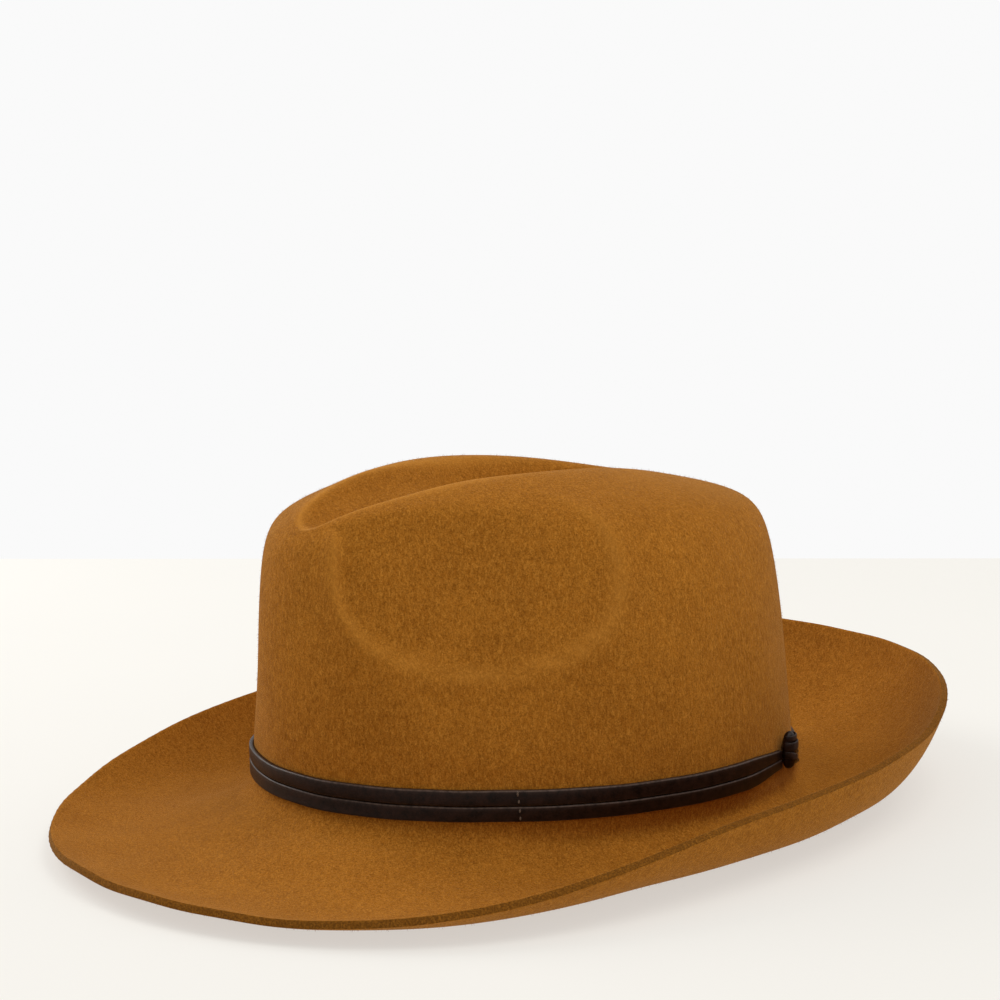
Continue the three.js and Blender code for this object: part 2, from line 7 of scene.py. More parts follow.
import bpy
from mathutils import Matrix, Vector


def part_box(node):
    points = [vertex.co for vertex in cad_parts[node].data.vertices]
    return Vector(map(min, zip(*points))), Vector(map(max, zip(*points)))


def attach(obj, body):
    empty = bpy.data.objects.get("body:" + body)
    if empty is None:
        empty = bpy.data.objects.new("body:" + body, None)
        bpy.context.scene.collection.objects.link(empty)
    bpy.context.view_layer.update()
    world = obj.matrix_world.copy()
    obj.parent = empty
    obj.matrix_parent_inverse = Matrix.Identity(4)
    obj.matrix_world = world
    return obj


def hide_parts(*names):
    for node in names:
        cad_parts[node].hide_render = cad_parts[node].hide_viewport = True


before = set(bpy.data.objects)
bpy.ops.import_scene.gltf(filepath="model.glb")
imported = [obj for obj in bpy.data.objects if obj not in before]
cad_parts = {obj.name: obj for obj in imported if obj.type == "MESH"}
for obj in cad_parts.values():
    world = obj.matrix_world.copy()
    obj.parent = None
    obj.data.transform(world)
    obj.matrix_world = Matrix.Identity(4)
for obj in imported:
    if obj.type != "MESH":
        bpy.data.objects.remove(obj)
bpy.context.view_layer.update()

import math

import bpy
import numpy as np
from mathutils import Matrix, Vector

# ---- the felt's shape, ring by ring -----------------------------------------------------------

MILLI = 1000
THICKNESS = 2.4
REST_PITCH = math.radians(2.4)


def crown_ring(half_length, half_width, centre, *height):
    """Control ring of the felt: an oval, and its heights from the front to the back."""
    return dict(half_length=half_length, half_width=half_width, centre=centre, height=height)


CREST = crown_ring(70.3, 25, -21.9, 94.5, 98.5, 104.5, 109.5, 109.5, 108.4, 106.9, 105, 104.5)
CREASE_DEPTH = [0.5, 7, 14, 15, 12]
CREASE_RINGS = [
    # share of the crest's length, share of its width, share of the crease's depth
    (0.45, 0, 1), (0.68, 0.4, 0.93), (0.88, 0.8, 0.5),
]
CROWN_RINGS = [
    CREST,
    crown_ring(73.5, 31.6, -20.6, 93.5, 98, 103, 107, 111.5, 111.5, 108.3, 105.2, 104),
    crown_ring(89.8, 63.7, -3.4, 94, 95.8, 98.5, 100.6, 102.3, 101.8, 100.7, 98.8, 98),
    crown_ring(96.4, 77, -2.9, 87.5, 87.7, 89.3, 90, 90, 89.2, 88.7, 87.6, 86),
    crown_ring(98.5, 82.5, 0, 45),
    crown_ring(99.5, 85, 2, 15),
    crown_ring(99.5, 84, 3.5, 5),
    crown_ring(105, 82, 3, 0),
]
FOLD = CROWN_RINGS[-1]
SHOULDER = 5
BREAK = len(CREASE_RINGS) + len(CROWN_RINGS) - 1
PINCH = dict(
    angle=44, spread=14, z=65, above=24, below=22, depth=8.5, heading=math.radians(58),
    fade_in=(2, 4.5), fade_out=(9, 10),
)
HOLLOW = dict(
    angle=46, spread=32, z=87, below=36, low=4, high=10.5, low_z=55, high_z=92,
    lip=0.8, lip_reach=1.03, lip_width=0.07, step=2.5, step_reach=(0.86, 1.02),
    fade_in=(4.05, 5.6), fade_out=(7, 8),
)
# Painted highlight along the crest and round the hollow's lip: strengths, places and widths.
PAINTED_HIGHLIGHT = dict(lip=0.36, lip_reach=0.97, lip_width=0.06, crest=0.55, crest_u=3.25, crest_width=0.4)
BRIM_WIDTH = [66.5, 64.5, 58, 65.5, 66.5]
BRIM_STEPS = [0.08, 0.25, 0.45, 0.65, 0.85, 1]
BRIM_OUT = [0, 0.35, 0.7, 1]
BRIM_SLOPES = [
    [-23, -23, -43, -39, -30, -14, -8],
    [-16, -13, -5, 4, 10, 21, 25],
    [-1, -4, 20, 43, 52, 56, 54],
    [28, 28, 54, 75, 76, 75, 76],
]
LAST = BREAK + len(BRIM_STEPS)
ROWS_PER_RING = 10
CUT_EDGE = dict(
    shares=(0.04, 0.14, 0.32, 0.5, 0.68, 0.86, 0.96), bulge=0.22,
    fringe=((0.09, 173, 9), (0.06, 311, 17)),
)
NAP = dict(fibres=26000, sunk=0.15, lean=0.55, least_rise=0.25, length=(0.5, 1.15), girth=(0.035, 0.06))
UNDERSIDE_ROW = ROWS_PER_RING * BREAK + 12

STRAP = dict(height=4.85, thickness=1.55, lower=6.6, upper=11.75)
STRAP_SLACK = ((0.1, 5, 16), (0.05, 23, 32))
STRAP_OFF_WALL = 0.1
GATHER = dict(
    height=3.1, lower=8.9, upper=12.2, start=2.5, end=17, end_behind=50,
    sag=3.0, sag_in=(2, 11), sag_out=(28, 55),
)
TAIL = dict(start=3.2, turn=5.5, narrow=0.5, taper=0.55, lift=1.8, arch=0.1, thickness=0.95)
KNOT = dict(angle=120.5, half_height=6.5, half_width=3.7, depth=4.9, z=14.8, gap=2.6)
KNOT_MIDDLE = KNOT["depth"] / 2 + 0.35
LACE_THICKNESS = 0.48
TACK_ANGLE = 52
TACK_MIDDLE = 12
TACK_LEAN = -0.042

LINING = dict(outer=3.2, inner=3.65, bottom=24, top=78, lean=2.6)
TIP = dict(rim_z=82.5, rim_inset=8, rise=3.2, thickness=0.6, seam=0.35)
PIPING = dict(z=80.2, inset=5.6, radius=0.9)
SWEATBAND = dict(outer=4.6, inner=5.6, bottom=-0.5, top=44)
REED = dict(inset=5.55, z=-2.1, radius=0.75)
REED_TAPE = dict(outer=3.95, inner=6.8, thickness=0.35, top=1.2, bottom=-3.8, lip=-0.9)
STITCH = dict(count=186, z=2.6, proud=0.18, slant=(0.995, 0.1), radii=(1.12, 0.24, 0.26))
LABEL = dict(angle=156, half_angle=5.5, bottom=14, top=30)
SEAM_TAPE = dict(angle=180, half_angle=4.5, bottom=4.2, top=42)
BOW = dict(
    z=9, proud=2.3, reach=5.6, swing=5.2, lift=0.7, arch=0.65, twist=0.15, waist=0.12,
    half_height=1.5, flare=1.9, half_thickness=0.14,
)
BOW_BINDING = dict(half_width=1.5, depth=1.05, height=1.9, half_thickness=0.18)


def full_turn(count):
    """Evenly spaced angles once round."""
    return np.arange(count) * 2 * np.pi / count


def smoothstep(x, low, high):
    """0 below low, 1 above high and an easy rise between."""
    t = np.clip((x - low) / (high - low), 0, 1)
    return t * t * (3 - 2 * t)


def fade(x, fade_in, fade_out):
    """Rises across the first pair of limits and falls across the second."""
    return smoothstep(x, *fade_in) * (1 - smoothstep(x, *fade_out))


def ripples(angles, waves):
    """Sum of sines round the head, each given as (size, waves in a turn, phase)."""
    return sum(size * np.sin(angles * count + phase) for size, count, phase in waves)


def around(angles, stations):
    """Smooth value round the head, the same on both sides, through evenly spaced stations."""
    last = len(stations) - 1
    if last == 0:
        return np.full_like(angles, stations[0], dtype=float)
    share = np.ones(last + 1)
    share[[0, -1]] = 0.5
    k = np.arange(last + 1)
    total = np.zeros_like(angles, dtype=float)
    for order in range(last + 1):
        scale = (1 if order in (0, last) else 2) / last
        weight = np.sum(share * np.array(stations) * np.cos(np.pi * order * k / last))
        total += scale * weight * np.cos(order * angles)
    return total


def oval(angles, half_length, half_width, centre, z):
    """Points of an oval: 0 is the front, a quarter turn the wearer's left."""
    return np.stack([half_width * np.sin(angles), centre - half_length * np.cos(angles), z], -1)


def outward(angles):
    """Level direction out of the oval at the fold."""
    x = FOLD["half_length"] * np.sin(angles)
    y = -FOLD["half_width"] * np.cos(angles)
    length = np.hypot(x, y)
    return np.stack([x / length, y / length, np.zeros_like(x)], -1)


def control_columns(angles):
    """Control points from the bottom of the crease to the brim's edge, one column per angle."""
    crest_z = around(angles, CREST["height"])
    depth = around(angles, CREASE_DEPTH)
    rings = []
    for length, width, share in CREASE_RINGS:
        size = (CREST["half_length"] * length, CREST["half_width"] * width)
        rings.append(oval(angles, *size, CREST["centre"], crest_z - depth * share))
    for ring in CROWN_RINGS:
        z = around(angles, ring["height"])
        rings.append(oval(angles, ring["half_length"], ring["half_width"], ring["centre"], z))
    rings += brim_rings(angles, rings[-1])
    before = rings[1] * [-1, 1, 1]
    after = 2 * rings[-1] - rings[-2]
    return np.array([before, *rings, after])


def brim_rings(angles, fold):
    """Control rings of the brim, found by walking out from the fold at each place's slope."""
    walk = 6
    direction = outward(angles)
    width = around(angles, BRIM_WIDTH)
    slopes = np.array([around(angles, row) for row in BRIM_SLOPES])
    place, rings, start = fold.copy(), [], 0
    for end in BRIM_STEPS:
        for k in range(walk):
            out = start + (end - start) * (k + 0.5) / walk
            slope = np.radians([np.interp(out, BRIM_OUT, column) for column in slopes.T])
            stride = width * (end - start) / walk
            place = place + direction * (stride * np.cos(slope))[:, None]
            place[:, 2] += stride * np.sin(slope)
        rings.append(place.copy())
        start = end
    return rings


def blend_weights(f):
    """Weights of four neighbouring control points in a uniform cubic B-spline."""
    second = (3 * f**3 - 6 * f**2 + 4) / 6
    third = (-3 * f**3 + 3 * f**2 + 3 * f + 1) / 6
    return [(1 - f) ** 3 / 6, second, third, f**3 / 6]


def spline(columns, u):
    """One point down each column, at that column's own u."""
    start = np.minimum(np.floor(u), len(columns) - 4).astype(int)
    index = np.arange(columns.shape[1])
    parts = [w[:, None] * columns[start + k, index] for k, w in enumerate(blend_weights(u - start))]
    return sum(parts)


RNG = np.random.default_rng(7)
WAVES = RNG.normal(size=(14, 3))
WAVES *= (2 * np.pi / RNG.uniform(28, 90, size=14) / np.linalg.norm(WAVES, axis=1))[:, None]
PHASES = RNG.uniform(0, 2 * np.pi, size=14)
UNEVEN = 0.11


def unevenness(points):
    """Slow waves, a few tenths of a millimetre, that hand blocking leaves in felt."""
    return UNEVEN * np.sin(points @ WAVES.T + PHASES).sum(-1)


def hollow_reach(turn, z):
    """How far out from the hollow's middle a place is: 1 at its lip."""
    drop = np.maximum(HOLLOW["z"] - z, 0) / HOLLOW["below"]
    return np.hypot((turn - HOLLOW["angle"]) / HOLLOW["spread"], drop**1.25)


def hollow_depth(turn, z):
    """The deeper hollow on the wearer's left, with a soft lip round its sides and foot."""
    reach = hollow_reach(turn, z)
    grown = smoothstep(z, HOLLOW["low_z"], HOLLOW["high_z"])
    deepest = HOLLOW["low"] + (HOLLOW["high"] - HOLLOW["low"]) * grown
    lip = HOLLOW["lip"] * np.exp(-(((reach - HOLLOW["lip_reach"]) / HOLLOW["lip_width"]) ** 2))
    step = HOLLOW["step"] * (1 - smoothstep(reach, *HOLLOW["step_reach"]))
    return (deepest - HOLLOW["step"]) * np.maximum(1 - reach**2, 0) ** 1.5 + step - lip


def turn_from_front(angles):
    """Degrees from the front, the same on both sides."""
    return np.degrees(np.abs(np.arctan2(np.sin(angles), np.cos(angles))))


def felt_points(columns, angles, u):
    """Outer face of the felt at one u per column, with the pinch, the hollow and the waves."""
    point = spline(columns, u)
    turn = turn_from_front(angles)
    side = (turn - PINCH["angle"]) / PINCH["spread"]
    rise = point[:, 2] - PINCH["z"]
    rise = rise / np.where(rise > 0, PINCH["above"], PINCH["below"])
    depth = PINCH["depth"] * fade(u, PINCH["fade_in"], PINCH["fade_out"])
    depth *= np.exp(-0.5 * (side**2 + rise**2))
    hollow = hollow_depth(turn, point[:, 2]) * fade(u, HOLLOW["fade_in"], HOLLOW["fade_out"])
    depth += np.where(np.sin(angles) > 0, hollow, 0)
    point[:, 0] -= depth * math.sin(PINCH["heading"]) * np.sign(np.sin(angles))
    point[:, 1] += depth * math.cos(PINCH["heading"])
    wave = unevenness(point)
    on_brim = smoothstep(u, BREAK - 0.5, BREAK + 1.5)
    point += outward(angles) * (wave * (1 - on_brim) * smoothstep(u, 0, 2))[:, None]
    point[:, 2] += wave * on_brim
    return point


def wall_points(columns, angles, z, inset):
    """Outer wall of the crown at a height, moved level inward by inset, or outward if negative."""
    z, inset = np.broadcast_to(z, angles.shape).astype(float), np.broadcast_to(inset, angles.shape)
    target = np.maximum(z, np.where(inset > 0, 8, 2))
    upper, lower = np.full(len(angles), float(SHOULDER)), np.full(len(angles), float(BREAK))
    for _ in range(24):
        middle = (upper + lower) / 2
        above = spline(columns, middle)[:, 2] > target
        upper, lower = np.where(above, middle, upper), np.where(above, lower, middle)
    point = felt_points(columns, angles, upper) - outward(angles) * inset[:, None]
    point[:, 2] = z
    return point


# ---- from the hat's frame to the row frame ------------------------------------------------------

RING_ANGLES = full_turn(600)
RING_COLUMNS = control_columns(RING_ANGLES)


def tilt(points):
    """The hat stands a little nose up, on the low sides of its brim."""
    c, s = math.cos(REST_PITCH), math.sin(REST_PITCH)
    x, y, z = points[..., 0], points[..., 1], points[..., 2]
    return np.stack([x, c * y + s * z, c * z - s * y], -1)


def placement():
    """Where the hat's frame lies, from the felt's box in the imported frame, in millimetres."""
    low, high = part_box("felt_body")
    us = np.arange(4 * LAST + 1) / 4
    rows = np.array([tilt(spline(RING_COLUMNS, np.full(len(RING_ANGLES), u))) for u in us])
    middle = (rows[..., 1].min() + rows[..., 1].max()) / 2
    return np.array([0, (low.y + high.y) / 2 * MILLI - middle, high.z * MILLI - rows[..., 2].max()])


SHIFT = placement()


def set_down(points):
    """Millimetres in the hat's frame to metres in the row frame, and nothing below the ground."""
    placed = (tilt(points) + SHIFT) / MILLI
    placed[..., 2] = np.maximum(placed[..., 2], 0)
    return placed


# ---- meshes -------------------------------------------------------------------------------------


def mesh_piece(name, points, faces, slot, replaced=(), attributes=None):
    """A smooth mesh piece that rides on the hat and takes its finish from a slot of the record."""
    data = bpy.data.meshes.new(name)
    data.from_pydata([tuple(p) for p in np.asarray(points).reshape(-1, 3)], [], faces)
    data.validate()
    data.shade_smooth()
    for key, values in (attributes or {}).items():
        layer = data.attributes.new(key, "FLOAT", "POINT")
        layer.data.foreach_set("value", np.asarray(values, np.float32).ravel())
    piece = bpy.data.objects.new(name, data)
    bpy.context.scene.collection.objects.link(piece)
    face_outward(piece)
    piece.data.materials.append(MATERIALS[slot])
    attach(piece, "root")
    if replaced:
        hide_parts(*replaced)
    return piece


def face_outward(piece):
    """Turns a closed mesh so that its volume is positive."""
    data = piece.data
    data.calc_loop_triangles()
    co = np.empty(len(data.vertices) * 3)
    data.vertices.foreach_get("co", co)
    tri = np.empty(len(data.loop_triangles) * 3, int)
    data.loop_triangles.foreach_get("vertices", tri)
    corner = co.reshape(-1, 3)[tri.reshape(-1, 3)]
    volume = np.einsum("ij,ij->i", np.cross(corner[:, 0], corner[:, 1]), corner[:, 2]).sum()
    if volume < 0:
        data.flip_normals()


def grid_faces(rows, columns, closed_rows, closed_columns, index=None):
    """Quads between neighbouring rows and columns, with repeated corners dropped."""
    index = np.arange(rows * columns).reshape(rows, columns) if index is None else index
    last_row = rows if closed_rows else rows - 1
    last_column = columns if closed_columns else columns - 1
    faces = []
    for r in range(last_row):
        here, there = index[r], index[(r + 1) % rows]
        for c in range(last_column):
            d = (c + 1) % columns
            face = list(dict.fromkeys((here[c], here[d], there[d], there[c])))
            if len(face) > 2:
                faces.append([int(v) for v in face])
    return faces


def capped_faces(count, sides):
    """Faces of a solid through equal closed outlines, with a cap at both ends."""
    first, last = list(range(sides)), [(count - 1) * sides + k for k in range(sides)]
    return grid_faces(count, sides, False, True) + [first[::-1], last]


def folded_piece(name, rows, slot, replaced, attributes=None):
    """A closed shell whose first and last rows lie on the middle line, where both halves meet."""
    rows = np.array(rows)
    count, columns = rows.shape[:2]
    index = np.arange(count * columns).reshape(count, columns)
    mirror = np.minimum(np.arange(columns), (columns - np.arange(columns)) % columns)
    for r in (0, count - 1):
        index[r] = index[r][mirror]
    used, index = np.unique(index, return_inverse=True)
    index = index.reshape(count, columns)
    points = rows.reshape(-1, 3)[used]
    kept = {key: np.asarray(values).reshape(-1)[used] for key, values in (attributes or {}).items()}
    faces = grid_faces(count, columns, False, True, index)
    return mesh_piece(name, points, faces, slot, replaced, kept)


def swept_piece(name, sections, slot, replaced=(), loop=True, attributes=None):
    """A solid through equal closed outlines, as a ring or capped at both ends."""
    sections = np.array(sections)
    count, sides = sections.shape[:2]
    faces = grid_faces(count, sides, True, True) if loop else capped_faces(count, sides)
    return mesh_piece(name, sections, faces, slot, replaced, attributes)


def join_parts(parts):
    """Several (points, faces) solids as one list of points and one of faces."""
    points, faces, start = [], [], 0
    for part_points, part_faces in parts:
        part_points = np.asarray(part_points).reshape(-1, 3)
        points.append(part_points)
        faces += [[v + start for v in face] for face in part_faces]
        start += len(part_points)
    return np.concatenate(points), faces


def bead(centre, axes, radii, rings=6, sides=8):
    """Points and faces of a small ellipsoid, its three axes given as rows."""
    latitudes = np.linspace(-np.pi / 2, np.pi / 2, rings + 2)[1:-1]
    local = [
        [math.cos(a) * math.cos(t), math.cos(a) * math.sin(t), math.sin(a)]
        for a in latitudes for t in full_turn(sides)
    ]
    local = np.array([*local, [0, 0, -1], [0, 0, 1]]) * radii
    faces = grid_faces(rings, sides, False, True)
    bottom, top = rings * sides, rings * sides + 1
    for k in range(sides):
        n = (k + 1) % sides
        faces.append([bottom, n, k])
        faces.append([top, (rings - 1) * sides + k, (rings - 1) * sides + n])
    return centre + local @ np.asarray(axes), faces


# ---- materials ----------------------------------------------------------------------------------


class Finish:
    """A procedural material: helpers that add nodes to one principled surface."""

    def __init__(self, name, roughness, specular=0.5, **inputs):
        self.material = bpy.data.materials.new(name)
        self.material.use_nodes = True
        self.tree = self.material.node_tree
        self.surface = self.tree.nodes["Principled BSDF"]
        self.surface.inputs["Roughness"].default_value = roughness
        self.surface.inputs["Specular IOR Level"].default_value = specular
        for key, value in inputs.items():
            self.surface.inputs[key.replace("_", " ")].default_value = value
        self.place = self.add("ShaderNodeTexCoord").outputs["Object"]

    def add(self, kind, **settings):
        node = self.tree.nodes.new(kind)
        for key, value in settings.items():
            setattr(node, key, value)
        return node

    def link(self, source, target):
        self.tree.links.new(source, target)

    def stretched(self, scale, turn=(0, 0, 0)):
        node = self.add("ShaderNodeMapping")
        node.inputs["Scale"].default_value = scale
        node.inputs["Rotation"].default_value = turn
        self.link(self.place, node.inputs["Vector"])
        return node.outputs["Vector"]

    def noise(self, size, detail=3, roughness=0.55, stretch=(1, 1, 1), distortion=0):
        """Noise from 0 to 1 whose features are about size metres across."""
        node = self.add("ShaderNodeTexNoise")
        node.inputs["Scale"].default_value = 1 / size
        node.inputs["Detail"].default_value = detail
        node.inputs["Roughness"].default_value = roughness
        node.inputs["Distortion"].default_value = distortion
        self.link(self.stretched(stretch), node.inputs["Vector"])
        return node.outputs["Fac"]

    def cells(self, size, stretch=(1, 1, 1)):
        node = self.add("ShaderNodeTexVoronoi")
        node.inputs["Scale"].default_value = 1 / size
        self.link(self.stretched(stretch), node.inputs["Vector"])
        return node.outputs["Distance"]

    def wave(self, size, direction="Z", distortion=0):
        node = self.add("ShaderNodeTexWave", bands_direction=direction)
        node.inputs["Scale"].default_value = math.pi / 10 / size
        node.inputs["Distortion"].default_value = distortion
        self.link(self.place, node.inputs["Vector"])
        return node.outputs["Fac"]

    def attribute(self, name):
        return self.add("ShaderNodeAttribute", attribute_name=name).outputs["Fac"]

    def math(self, operation, a, b=0.0):
        node = self.add("ShaderNodeMath", operation=operation)
        for socket, value in zip(node.inputs, (a, b)):
            if isinstance(value, (int, float)):
                socket.default_value = value
            else:
                self.link(value, socket)
        return node.outputs[0]

    def between(self, value, low, high, to_low=0.0, to_high=1.0):
        node = self.add("ShaderNodeMapRange")
        self.link(value, node.inputs["Value"])
        limits = {"From Min": low, "From Max": high, "To Min": to_low, "To Max": to_high}
        for key, number in limits.items():
            node.inputs[key].default_value = number
        return node.outputs["Result"]

    def mix(self, share, first, second):
        """Second colour over first; each may be a tuple or a socket, the share a number or a socket."""
        node = self.add("ShaderNodeMix", data_type="RGBA")
        for key, value in ((0, share), (6, first), (7, second)):
            if isinstance(value, (int, float)):
                node.inputs[key].default_value = value
            elif isinstance(value, tuple):
                node.inputs[key].default_value = (*value, 1)
            else:
                self.link(value, node.inputs[key])
        return node.outputs[2]

    def colour(self, socket):
        self.link(socket, self.surface.inputs["Base Color"])

    def roughness(self, socket):
        self.link(socket, self.surface.inputs["Roughness"])

    def bump(self, *layers):
        """Bumps laid over each other: each layer is a height, its depth in metres and a strength."""
        below = None
        for height, depth, strength in layers:
            node = self.add("ShaderNodeBump")
            node.inputs["Distance"].default_value = depth
            node.inputs["Strength"].default_value = strength
            self.link(height, node.inputs["Height"])
            if below:
                self.link(below, node.inputs["Normal"])
            below = node.outputs["Normal"]
        self.link(below, self.surface.inputs["Normal"])


def felt_finish():
    """Short-napped wool felt: mottled at several sizes, with a streaky nap and a soft sheen."""
    f = Finish("felt", 0.95, 0.05, Sheen_Weight=0.42, Sheen_Roughness=0.18, Sheen_Tint=(1, 0.6, 0.24, 1))
    nap = f.noise(0.00085, 4, 0.72, stretch=(1, 1, 0.4), distortion=0.7)
    speck = f.noise(0.0005, 3, 0.65)
    clumps = f.noise(0.0026, 4, 0.62, stretch=(1, 1, 0.7))
    cloud = f.noise(0.018, 3, 0.5)
    tone = f.mix(f.between(cloud, 0.32, 0.68), (0.31, 0.107, 0.0095), (0.38, 0.137, 0.013))
    tone = f.mix(f.between(clumps, 0.38, 0.62, 0, 0.5), tone, (0.225, 0.077, 0.006))
    tone = f.mix(f.between(nap, 0.4, 0.66, 0, 0.75), tone, (0.54, 0.222, 0.03))
    tone = f.mix(f.between(speck, 0.46, 0.62, 0, 0.6), tone, (0.145, 0.046, 0.0035))
    # Painted highlight: a paler tone along the crest and the hollow's lip, standing in for their sheen.
    ridge_highlight = f.math("MULTIPLY", f.attribute("ridge_highlight"), f.between(clumps, 0.35, 0.65, 0.7, 1.1))
    tone = f.mix(ridge_highlight, tone, (0.56, 0.235, 0.036))
    # Painted shade: the brim's raw edge darkens, as it faces down and away from the light.
    cut = f.math("MULTIPLY", f.attribute("cut"), f.between(speck, 0.35, 0.65, 0.45, 0.95))
    tone = f.mix(cut, tone, (0.11, 0.042, 0.006))
    f.colour(tone)
    f.bump((clumps, 0.0006, 0.3), (nap, 0.0005, 0.6), (speck, 0.0003, 0.5))
    return f.material


def band_leather_finish():
    """Dark brown leather lace: waxed, fine-grained, with lighter edges, partly scuffing and partly painted
    highlight.
    """
    f = Finish("band_leather", 0.38, 0.14)
    grain = f.cells(0.00035)
    blotch = f.noise(0.003, 5, 0.66)
    fine = f.noise(0.0005, 3, 0.6)
    tone = f.mix(f.between(blotch, 0.35, 0.65), (0.004, 0.0018, 0.0012), (0.02, 0.008, 0.0048))
    tone = f.mix(f.between(fine, 0.5, 0.7, 0, 0.5), tone, (0.027, 0.012, 0.008))
    # Painted highlight broken by scuffs: the marked edges and wrap fronts turn pale brown.
    scuffs = f.between(f.noise(0.0015, 4, 0.6), 0.3, 0.6, 0.25, 1)
    wear_and_highlight = f.math("MULTIPLY", f.attribute("wear_and_highlight"), scuffs)
    f.colour(f.mix(f.math("MULTIPLY", wear_and_highlight, 0.75), tone, (0.13, 0.088, 0.07)))
    f.roughness(f.between(fine, 0.3, 0.7, 0.27, 0.46))
    f.bump((blotch, 0.0002, 0.2), (grain, 0.00006, 0.35), (fine, 0.00006, 0.3))
    return f.material


def thread_finish():
    """Waxed twisted thread."""
    f = Finish("thread", 0.6, 0.35, Sheen_Weight=0.2)
    strand = f.wave(0.0003, "DIAGONAL", 1.5)
    f.colour(f.mix(strand, (0.05, 0.028, 0.016), (0.17, 0.11, 0.07)))
    f.bump((strand, 0.0001, 0.7))
    return f.material


def sweatband_finish():
    """Smooth brown roan leather with pores, creases and darker handled patches."""
    f = Finish("sweatband_leather", 0.45, 0.4, Coat_Weight=0.06, Coat_Roughness=0.35)
    pores = f.cells(0.0007)
    creases = f.noise(0.005, 5, 0.6, stretch=(1, 1, 2.2), distortion=0.8)
    cloud = f.noise(0.03, 3, 0.5)
    tone = f.mix(f.between(cloud, 0.3, 0.7), (0.15, 0.062, 0.024), (0.205, 0.092, 0.038))
    tone = f.mix(f.between(creases, 0.45, 0.7, 0, 0.4), tone, (0.085, 0.034, 0.013))
    tone = f.mix(f.between(pores, 0.0, 0.25, 0.45, 0), tone, (0.06, 0.025, 0.01))
    # On the sweatband this mask only darkens its worn edges.
    f.colour(f.mix(f.math("MULTIPLY", f.attribute("wear_and_highlight"), 0.5), tone, (0.06, 0.03, 0.015)))
    f.roughness(f.between(creases, 0.3, 0.7, 0.38, 0.58))
    f.bump((creases, 0.0004, 0.3), (pores, 0.00012, 0.5))
    return f.material


def woven_finish(name, size, dark, light, roughness, sheen, depth=0.00012):
    """Plain weave of fine warp and weft threads with uneven yarn."""
    f = Finish(name, roughness, 0.3, Sheen_Weight=sheen, Sheen_Roughness=0.35)
    weave = f.math("MULTIPLY", f.wave(size, "Z"), f.wave(size, "DIAGONAL"))
    yarn = f.noise(0.002, 3, 0.6, stretch=(1, 1, 6))
    tone = f.mix(weave, dark, light)
    f.colour(f.mix(f.between(yarn, 0.35, 0.7, 0, 0.35), tone, tuple(0.6 * c for c in dark)))
    f.bump((weave, depth, 0.6), (yarn, depth, 0.3))
    return f.material


def satin_finish():
    """Satin lining: fine floats along the cloth, soft sheen, faint watered tone."""
    f = Finish("satin", 0.34, 0.55, Anisotropic=0.5, Sheen_Weight=0.3, Sheen_Roughness=0.3)
    floats = f.noise(0.00035, 3, 0.6, stretch=(1, 1, 0.12))
    water = f.noise(0.012, 4, 0.5, stretch=(1, 1, 0.4))
    tone = f.mix(f.between(water, 0.3, 0.7), (0.19, 0.105, 0.036), (0.28, 0.165, 0.062))
    f.colour(f.mix(f.between(floats, 0.4, 0.7, 0, 0.4), tone, (0.36, 0.23, 0.10)))
    f.roughness(f.between(floats, 0.3, 0.7, 0.28, 0.42))
    f.bump((water, 0.0006, 0.2), (floats, 0.00006, 0.5))
    return f.material


def reed_finish():
    """Milky plastic filament, slightly scuffed."""
    f = Finish("reed", 0.38, 0.5, Transmission_Weight=0.15, Subsurface_Weight=0.2)
    scuff = f.noise(0.0012, 4, 0.7, stretch=(1, 1, 3))
    f.colour(f.mix(f.between(scuff, 0.4, 0.7), (0.62, 0.58, 0.48), (0.5, 0.46, 0.36)))
    f.roughness(f.between(scuff, 0.3, 0.7, 0.3, 0.5))
    f.bump((scuff, 0.00008, 0.4))
    return f.material


MATERIALS = {
    "felt": felt_finish(),
    "band_leather": band_leather_finish(),
    "thread": thread_finish(),
    "sweatband_leather": sweatband_finish(),
    "reed": reed_finish(),
    "tape": woven_finish("tape", 0.0005, (0.03, 0.017, 0.009), (0.075, 0.045, 0.026), 0.85, 0.2),
    "ribbon": woven_finish("ribbon", 0.0004, (0.022, 0.012, 0.008), (0.06, 0.036, 0.024), 0.55, 0.3),
    "label": woven_finish("label", 0.00035, (0.55, 0.49, 0.37), (0.78, 0.72, 0.58), 0.8, 0.1),
    "satin": satin_finish(),
}

# ---- felt ---------------------------------------------------------------------------------------


def grid_normals(rows):
    """Unit normals of a grid of rows round the hat, pointing out of the felt's outer face."""
    down = np.gradient(rows, axis=0)
    across = np.roll(rows, -1, 1) - np.roll(rows, 1, 1)
    normal = np.cross(down, across)
    return normal / np.maximum(np.linalg.norm(normal, axis=-1, keepdims=True), 1e-9)


def painted_ridge_highlight(us, outer):
    """Painted highlight along the crest and round the lip of the hollow, standing in for the sheen these
    ridges catch.
    """
    reach = hollow_reach(turn_from_front(RING_ANGLES), outer[..., 2])
    lip = np.exp(-(((reach - PAINTED_HIGHLIGHT["lip_reach"]) / PAINTED_HIGHLIGHT["lip_width"]) ** 2))
    lip *= fade(us, HOLLOW["fade_in"], HOLLOW["fade_out"])[:, None] * (np.sin(RING_ANGLES) > 0)
    front = smoothstep(np.cos(RING_ANGLES), -0.8, 0.1)
    crest = np.exp(-(((us - PAINTED_HIGHLIGHT["crest_u"]) / PAINTED_HIGHLIGHT["crest_width"]) ** 2))[:, None] * front
    return np.maximum(PAINTED_HIGHLIGHT["lip"] * lip, PAINTED_HIGHLIGHT["crest"] * crest)


